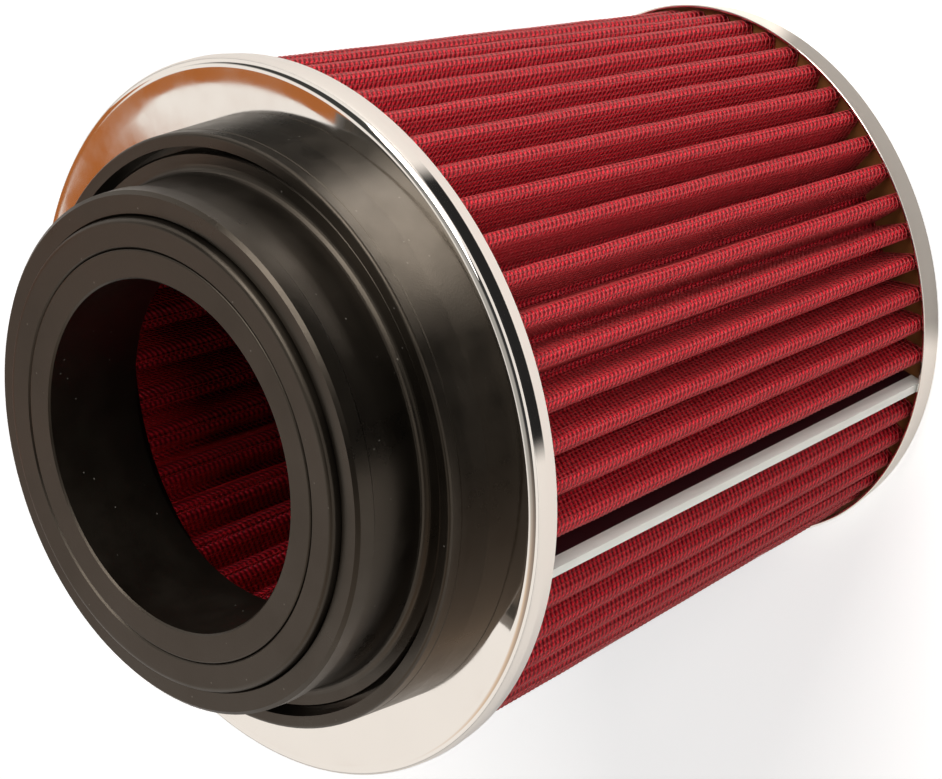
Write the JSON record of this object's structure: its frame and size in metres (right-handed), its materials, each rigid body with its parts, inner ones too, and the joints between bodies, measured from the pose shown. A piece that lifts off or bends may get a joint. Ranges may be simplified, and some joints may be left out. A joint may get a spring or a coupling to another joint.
{
  "type": "cone air filter",
  "caption": "Pleated cotton cone air filter with a chromed front ring, a rubber mouth with stepped reducers and a closed steel cap at its narrow end.",
  "frame": {"origin": "centre of the rear cap's flat back, which the filter stands on", "axes": "+Z along the filter's axis, towards the mouth; +X and +Y are any pair across it, with the seam clip 39 degrees from -Y towards -X"},
  "size_m": [0.156, 0.156, 0.171],
  "materials": {
    "chromed_ring": "polished chrome plating on pressed steel",
    "moulded_rubber": "satin moulded black rubber with fine mould lines",
    "reducer_rubber": "matte black rubber",
    "inner_reducer_rubber": "matte black rubber with a cut face",
    "coated_screen": "fine woven wire screen with a red coating",
    "oiled_cotton": "red oiled cotton gauze",
    "inner_screen_wire": "fine woven wire screen with a glossy red coating",
    "clip_metal": "plain folded strip, pale grey",
    "seam_adhesive": "cured dark maroon adhesive",
    "front_adhesive": "cured brown adhesive",
    "potting_compound": "cured amber brown potting compound",
    "chromed_cap": "polished chrome plating on pressed steel"
  },
  "bodies": {
    "root": {"front_ring": "chromed_ring", "base_moulding": "moulded_rubber", "outer_reducer": "reducer_rubber", "inner_reducer": "inner_reducer_rubber", "outer_screen": "coated_screen", "cotton_medium": "oiled_cotton", "inner_screen": "inner_screen_wire", "seam_clip": "clip_metal", "seam_sealant": "seam_adhesive", "front_potting": "front_adhesive", "rear_potting": "potting_compound", "rear_cap": "chromed_cap"}
  },
  "joints": []
}
